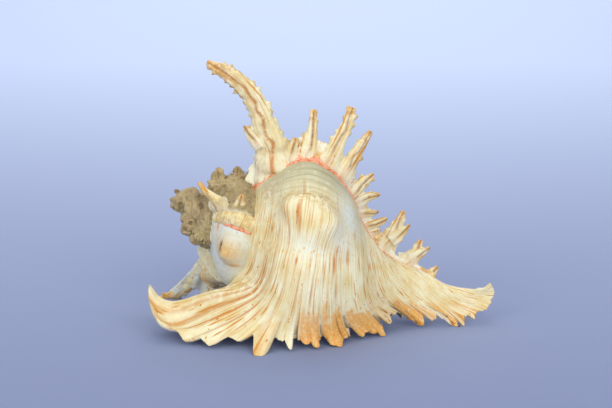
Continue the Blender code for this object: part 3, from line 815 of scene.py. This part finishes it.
def addWeb(skin, turn, edge):
    line = through(withShares(edge), np.linspace(0, 1, 220))
    outward, growthWay = frameOf(turn)
    foot = np.column_stack((line[:, 0] * 0.55 + 18, np.full(len(line), 24.0)))
    share = np.linspace(0, 1, 40)[None, :, None]
    flat = foot[:, None] * (1 - share) + line[:, None] * share
    back = 1.5 + 3.5 * share + 0.8 * np.cos(flat[..., :1] * 0.9) * share
    front = base + flat[..., :1] * alongAxis + flat[..., 1:] * outward - back * growthWay
    masks = {
        "growthMap": triple(flat[..., 0] * 1.5, flat[..., 1], 0),
        "tints": triple(0.7 * smoothStep(0.85, 1, share[..., 0]), 0.25, 0.75),
        "depths": (0.3, 0, 0),
    }
    thick = 1.6 - 0.8 * share
    addSheet(skin, front, front - thick * growthWay, masks, masks)


def makeVarix(name, newer, factor, voxel, shellMaterial):
    skin = newSkin()
    if newer in webs:
        addWeb(skin, newer, webs[newer])
    addWing(skin, newer, factor)
    for number, frond in varixFronds(newer):
        addFrond(skin, number, *frond)
    finishedFused(skin, name, voxel, shellMaterial)


# The spire: whorls under old crust, and lumps of crust about the apex as place and radius.
spire = {
    "voxel": 0.5,
    "columns": 220,
    "unevenness": 0.4,
    "crustFrom": (-415, -430),
    "hollowDepth": 2.2,
    "axisSteps": 8,
    # Colours and hollows: angle of growth, share across, reach, width, strength.
    "yellow": ((-384, 0.3, 13, 0.1, 1), (-371, 0.35, 6, 0.04, 0.7), (-405, 0.4, 5, 0.03, 0.7)),
    "orange": ((-369, 0.335, 1.6, 0.045, 0.7), (-404, 0.48, 4, 0.02, 0.9)),
    "pink": ((-399, 0.17, 7, 0.009, 1),),
    "bump": ((-378, 0.3, 6, 0.05, 1),),
    "bumpHeight": 1.0,
    "hollows": (
        (-385, 0.258, 3.6, 0.012, 1), (-382, 0.27, 2.2, 0.012, 0.7), (-391, 0.36, 1.0, 0.004, 0.5),
        (-388, 0.385, 0.8, 0.005, 0.5), (-398, 0.38, 0.8, 0.004, 0.5), (-402, 0.33, 0.7, 0.004, 0.4),
        (-384, 0.4, 0.7, 0.004, 0.5), (-394, 0.405, 0.7, 0.004, 0.5), (-379, 0.41, 0.7, 0.005, 0.5),
    ),
    "knobs": (
        ((1.6, -1, 56.7), 3.4), ((6.4, -1, 59), 4.6), ((9.6, -6, 53.6), 5.4),
        ((8.1, -6, 46.9), 4), ((10.2, -9, 42), 2.8), ((8, 4, 61), 3), ((21, 2, 65), 4.2),
        ((28.5, 2, 66), 4.2),
    ),
}


def addBall(skin, place, radius, masks):
    angle = np.linspace(0, 2 * np.pi, 24, endpoint=False)
    height = np.linspace(-0.97, 0.97, 14)
    ring = triple(np.cos(angle), np.sin(angle), 0)[None]
    rings = ring * np.sqrt(1 - height ** 2)[:, None, None] + np.array((0, 0, 1)) * height[:, None, None]
    middle = np.array(place) + np.array(growth["rest"])
    uneven = 1 + spire["unevenness"] * lumps(middle + radius * rings, 3.0, 61)
    addTube(skin, middle + radius * uneven[..., None] * rings, masks)


def makeSpire(shellMaterial):
    skin = newSkin()
    old = (*growth["varices"], (growth["startOfShell"], 0))
    for (newer, factor), (older, _) in zip(old, old[1:]):
        count = max(14, int((newer - older) / 2))
        turns = older - 8 + (newer - older + 8) * np.linspace(0, 1, count) ** 0.8
        turn, share = grid(turns, np.linspace(0, 1, spire["columns"]))
        dent = spire["hollowDepth"] * spots(turn, share, spire["hollows"])
        dent -= spire["bumpHeight"] * spots(turn, share, spire["bump"])
        outer = whorl(turn, share, wingShare(turn, newer, factor), dent)
        inner = []
        for end in np.linspace(1, 0, spire["axisSteps"]):
            along = outlineAt(np.full(count, end))[0][:, 0] * scaleAt(turns)
            inner.append(placed(along, np.full(count, 0.05), growth["lipTurn"] - turns))
        rings = np.concatenate((outer, np.stack(inner, axis=1)), axis=1)
        shape = rings.shape[:2]
        turn = np.broadcast_to(turns[:, None], shape)
        share = np.broadcast_to(np.concatenate((share[0], np.zeros(spire["axisSteps"]))), shape)
        crust = smoothStep(*spire["crustFrom"], turn)
        edge = np.exp((turn - newer) / 5)
        pink, orange, yellow, hollow = (spots(turn, share, spire[k])
                                        for k in ("pink", "orange", "yellow", "hollows"))
        masks = {
            "growthMap": growthMap(turn, share),
            "tints": triple(np.maximum(0.5 * edge, 0.6 * yellow),
                            np.maximum(0.75 * crust, 0.6 - 0.45 * yellow),
                            0.85 * (1 - crust) * (1 - yellow)),
            "marks": triple(pink, np.maximum(crust, 0.5 * yellow), orange),
            # painted shade: the hollows are darkened as well as dented
            "depths": triple(0.1, hollow, 0),
        }
        addTube(skin, rings, masks)
    for number, frond in enumerate(fronds):
        if frond[0] < -270:
            addFrond(skin, number, *frond)
    crusted = {"tints": (0.3, 0.7, 0), "marks": (0, 1.0, 0)}
    for place, radius in spire["knobs"]:
        addBall(skin, place, radius, crusted)
    finishedFused(skin, "spire", spire["voxel"], shellMaterial)


# The smooth pillar that the whorls wind about, seen through the aperture.
pillar = {
    "along": (62, 128),
    "radii": (7.5, 2.2),
    "offset": (0, 2.2, -1.3),
    "around": 48,
    "rows": 60,
}


def makePillar(liningMaterial):
    around = pillar["around"]
    angle = np.linspace(0, 360, around, endpoint=False)
    places = np.linspace(*pillar["along"], pillar["rows"])
    radii = np.linspace(*pillar["radii"], pillar["rows"])
    rings = [placed(np.full(around, along), np.full(around, radius), angle) + np.array(pillar["offset"])
             for along, radius in zip(places, radii)]
    skin = newSkin()
    addTube(skin, np.array(rings), liningMasks)
    finishedSkin(skin, "pillar", liningMaterial)


# Materials
def linear(hexColour):  # sRGB hex to linear
    channels = [int(hexColour[i:i + 2], 16) / 255 for i in (1, 3, 5)]
    return [c / 12.92 if c <= 0.04045 else ((c + 0.055) / 1.055) ** 2.4 for c in channels] + [1]


def addNode(tree, kind, inputs=None, **settings):
    node = tree.nodes.new("ShaderNode" + kind)
    for key, value in settings.items():
        setattr(node, key, value)
    for key, value in (inputs or {}).items():
        if isinstance(value, bpy.types.NodeSocket):
            tree.links.new(value, node.inputs[key])
        else:
            node.inputs[key].default_value = linear(value) if isinstance(value, str) else value
    return node


def newMaterial(name):
    material = bpy.data.materials.new(name)
    material.use_nodes = True
    return material, material.node_tree, material.node_tree.nodes["Principled BSDF"]


# Aragonite, grown in ribs and left matt: it gives a soft ivory with tan lines along the growth,
# orange dashes, and a chalky crust on the lip and the spire.
aragonite = {
    "base": "#F6EFCF",
    "roughness": 0.5,
    "crustRoughness": 0.85,
    "bumpStrength": 0.35,
    # Noise: what it is laid out in, millimetres to a lump each way, detail. Growth lines on the
    # real shell are 0.3 mm apart in places, and are drawn coarser here.
    "patterns": {
        "cloud": ("place", (9, 9, 9), 3.0),
        "mottle": ("place", (2.2, 2.2, 2.2), 4.0),
        "grain": ("place", (0.7, 0.7, 0.7), 4.0),
        "lines": ("growthMap", (1.0, 32, 1), 2.0),
        "fineLines": ("growthMap", (0.6, 25, 1), 2.0),
        "dashes": ("growthMap", (1.2, 5, 1), 2.0),
        "bands": ("growthMap", (40, 1.6, 1), 3.0),
    },
    # Layers of colour, lowest first: colour, mask, pattern, from, to, strength.
    "layers": (
        ("#EFDDA4", None, "cloud", 0.42, 0.66, 0.8),
        # painted shade in the grooves between the ribs
        ("#D2B06A", "paintedGrooveShade", "cloud", 0.3, 0.7, 0.45),
        ("#E3BB70", "lined", "fineLines", 0.55, 0.6, 0.7),
        ("#D89842", "lined", "lines", 0.6, 0.635, 1.0),
        # the shell's own brown, and painted shade around the top of the knob
        ("#C49A54", "tanAndShade", "mottle", 0.42, 0.58, 0.85),
        ("#EDA236", "crust", "mottle", 0.26, 0.44, 0.95),
        ("#F3D79B", "crust", "mottle", 0.53, 0.6, 0.4),
        ("#B4B095", "grey", "mottle", 0.2, 0.42, 0.9),
        ("#94866B", "spireCrust", "mottle", 0.3, 0.42, 0.85),
        ("#C7B68A", "spireCrust", "cloud", 0.5, 0.56, 0.7),
        ("#5B4934", "spireCrust", "mottle", 0.44, 0.38, 0.7),
        ("#5A4023", "crust", "grain", 0.38, 0.3, 0.7),
        ("#8F8356", "grey", "bands", 0.52, 0.62, 0.55),
        ("#F1F3E8", "white", "mottle", 0.3, 0.5, 0.95),
        # painted shade: where white meets grey on the older whorls, their own white is drawn bluish as
        # shade
        ("#D9E3EC", "spireWhite", "mottle", 0.3, 0.5, 0.9),
        ("#CB7716", "lined", "dashes", 0.685, 0.715, 1.0),
        ("#CC7A1A", "mark", "mottle", 0.3, 0.42, 1.0),
        ("#F6A58A", "pink", "mottle", 0.2, 0.35, 0.95),
        ("#E2702C", "pink", "mottle", 0.5, 0.57, 0.9),
        # painted shade in the creases, the frond slits and the hollows
        ("#5E2B0E", "paintedShade", "cloud", 0.0, 0.2, 1.0),
    ),
}


def makeAragonite():
    material, tree, surface = newMaterial("ribbedAragonite")
    sources = {"place": addNode(tree, "TexCoord").outputs["Object"]}
    for name in maskNames:
        sources[name] = addNode(tree, "Attribute", attribute_name=name).outputs["Vector"]
    masks = {}
    for name, parts in (("tints", ("tanAndShade", "grey", "white")), ("marks", ("pink", "crust", "mark")),
                        ("depths", ("paintedGrooveShade", "paintedShade", "lining"))):
        split = addNode(tree, "SeparateXYZ", {"Vector": sources[name]})
        masks.update(zip(parts, split.outputs))
    masks["lined"] = addNode(tree, "Math", {0: 1.0, 1: masks["grey"]},
                             operation="SUBTRACT").outputs[0]
    # spireWhite is painted shade: a bluish tint over the white of the older whorls
    for name in ("crust", "white"):  # the spire is where either meets grey
        title = "spire" + name.capitalize()
        masks[title] = addNode(tree, "Math", {0: masks[name], 1: masks["grey"]},
                               operation="MULTIPLY").outputs[0]
    noises = {}
    for name, (source, lump, detail) in aragonite["patterns"].items():
        unitLength = 1 / mm if source == "place" else 1.0  # places are in metres
        stretch = [unitLength / size for size in lump]
        scaled = addNode(tree, "VectorMath", {0: sources[source], 1: stretch},
                         operation="MULTIPLY").outputs[0]
        noise = addNode(tree, "TexNoise", {"Vector": scaled, "Scale": 1.0, "Detail": detail,
                                           "Roughness": 0.55})
        noises[name] = noise.outputs["Fac"]
    colour = aragonite["base"]
    for tint, mask, pattern, low, high, strength in aragonite["layers"]:
        share = addNode(tree, "MapRange", {"Value": noises[pattern], "From Min": low,
                                           "From Max": high, "To Max": strength}).outputs[0]
        if mask:
            share = addNode(tree, "Math", {0: share, 1: masks[mask]},
                            operation="MULTIPLY").outputs[0]
        colour = addNode(tree, "Mix", {0: share, 6: colour, 7: tint},
                         data_type="RGBA").outputs[2]
    rough = addNode(tree, "MapRange", {
        "Value": masks["crust"], "To Min": aragonite["roughness"],
        "To Max": aragonite["crustRoughness"]}).outputs[0]
    height = addNode(tree, "Math", {0: noises["fineLines"], 1: noises["grain"]},
                     operation="ADD").outputs[0]
    bump = addNode(tree, "Bump", {"Height": height, "Distance": 0.3 * mm,
                                  "Strength": aragonite["bumpStrength"]}).outputs[0]
    tree.links.new(colour, surface.inputs["Base Color"])
    tree.links.new(rough, surface.inputs["Roughness"])
    tree.links.new(bump, surface.inputs["Normal"])
    return material


# The lining is aragonite laid down smooth and close: it has the soft gloss of porcelain.
porcelain = {"white": "#F3ECE0", "blush": "#EBC3A6", "roughness": 0.3, "lumpsPerMetre": 80.0}


def makeLining():
    material, tree, surface = newMaterial("porcelainLining")
    position = addNode(tree, "TexCoord").outputs["Object"]
    noise = addNode(tree, "TexNoise",
                    {"Vector": position, "Scale": porcelain["lumpsPerMetre"], "Detail": 3.0})
    colour = addNode(tree, "Mix", {0: noise.outputs["Fac"], 6: porcelain["white"],
                                   7: porcelain["blush"]}, data_type="RGBA").outputs[2]
    tree.links.new(colour, surface.inputs["Base Color"])
    surface.inputs["Roughness"].default_value = porcelain["roughness"]
    return material


# The camera stands where the photograph's did: 12 degrees above the level, 0.7 m off.
cameraSet = {"elevation": 12.0, "distance": 700.0, "right": 62.68, "up": 0.478, "lens": 86.06}


def makeCamera():
    angle = math.radians(cameraSet["elevation"])
    back = np.array((0, -math.cos(angle), math.sin(angle)))
    up = np.array((0, math.sin(angle), math.cos(angle)))
    place = base + np.array((cameraSet["right"], 0, 0)) + up * cameraSet["up"]
    camera = added("camera", bpy.data.cameras.new("camera"))
    camera.location = (place + back * cameraSet["distance"]) * mm
    camera.rotation_euler = (math.radians(90) - angle, 0, 0)
    camera.data.lens = cameraSet["lens"]
    bpy.context.scene.camera = camera


# Soft studio light: a large warm soft box at the front right, weaker ones at the front left and
# above the back, and one over the backdrop. The paper is painted darker towards the front of the
# floor and lighter up the backdrop: painted shade below, painted light above.
studio = {
    # the floor colour is the paper darkened as painted shade, the backdrop colour the paper lightened as
    # painted light
    "floor": "#7B86AF",
    "backdropPaintedLight": "#C8D5F9",
    "floorStart": -2.4,
    "floorEnd": 0.3,
    "halfWidth": 2.2,
    "sweep": 1.8,
    "sweepSteps": 24,
    "top": 2.4,
    "shadeAlong": (0, 0.25, 1),
    "shadeFrom": -0.05,
    "shadeTo": 0.22,
    "roughness": 0.9,
    "sky": "#DFE4F2",
    "skyStrength": 0.64,
    "lightColour": "#FDFBE4",
    "boxes": (  # place, what it is turned to, size, power
        ((0.38, -0.85, 0.45), (0, 0, 0.05), 0.7, 5.2),
        ((-0.6, -0.6, 0.4), (0, 0, 0.05), 0.6, 3.0),
        ((0.1, 0.25, 0.9), (0, 0, 0.05), 0.5, 0.8),
        ((0, 0.95, 1.0), (0, 0.95, 0.0), 1.0, 7.0),
    ),
}


def makeStudio():
    end, sweep = studio["floorEnd"], studio["sweep"]
    profile = [(studio["floorStart"], 0), (end, 0)]
    for step in range(1, studio["sweepSteps"] + 1):
        angle = math.radians(90 * step / studio["sweepSteps"])
        profile.append((end + sweep * math.sin(angle), sweep - sweep * math.cos(angle)))
    profile.append((end + sweep, studio["top"]))
    points = [(x, y, z) for y, z in profile for x in (-studio["halfWidth"], studio["halfWidth"])]
    faces = [(2 * i, 2 * i + 1, 2 * i + 3, 2 * i + 2) for i in range(len(profile) - 1)]
    data = bpy.data.meshes.new("floor")
    data.from_pydata(points, [], faces)
    data.shade_smooth()
    paper, tree, surface = newMaterial("mattPaper")
    position = addNode(tree, "TexCoord").outputs["Object"]
    # painted shade and light: the paper darkens towards the front of the floor and lightens up the backdrop
    rise = addNode(tree, "VectorMath", {0: position, 1: studio["shadeAlong"]},
                   operation="DOT_PRODUCT").outputs["Value"]
    share = addNode(tree, "MapRange", {
        "Value": rise, "From Min": studio["shadeFrom"], "From Max": studio["shadeTo"]}).outputs[0]
    colour = addNode(tree, "Mix", {0: share, 6: studio["floor"], 7: studio["backdropPaintedLight"]},
                     data_type="RGBA").outputs[2]
    tree.links.new(colour, surface.inputs["Base Color"])
    surface.inputs["Roughness"].default_value = studio["roughness"]
    data.materials.append(paper)
    added("floor", data)
    for number, (place, aim, size, power) in enumerate(studio["boxes"]):
        light = bpy.data.lights.new(f"softBox{number}", "AREA")
        light.size = size
        light.energy = power
        light.color = linear(studio["lightColour"])[:3]
        box = added(f"softBox{number}", light)
        box.location = place
        target = np.array(aim) - np.array(place)
        yaw = math.atan2(target[1], target[0])
        pitch = math.atan2(target[2], math.hypot(target[0], target[1]))
        box.rotation_euler = (math.pi / 2 + pitch, 0, yaw - math.pi / 2)
    world = bpy.data.worlds.new("sky")
    bpy.context.scene.world = world
    world.use_nodes = True
    sky = world.node_tree.nodes["Background"]
    sky.inputs["Color"].default_value = linear(studio["sky"])
    sky.inputs["Strength"].default_value = studio["skyStrength"]
    bpy.context.scene.view_settings.view_transform = "Standard"


makeCamera()
makeStudio()
print("studio and camera are ready")
ribbedAragonite = makeAragonite()
porcelainLining = makeLining()
makeBody(ribbedAragonite, porcelainLining)
makeBackWhorl(ribbedAragonite, porcelainLining)
for varixPiece in varix["pieces"]:
    makeVarix(*varixPiece, ribbedAragonite)
makeSpire(ribbedAragonite)
for cord in cords:
    makeCord(*cord, ribbedAragonite)
makePillar(porcelainLining)
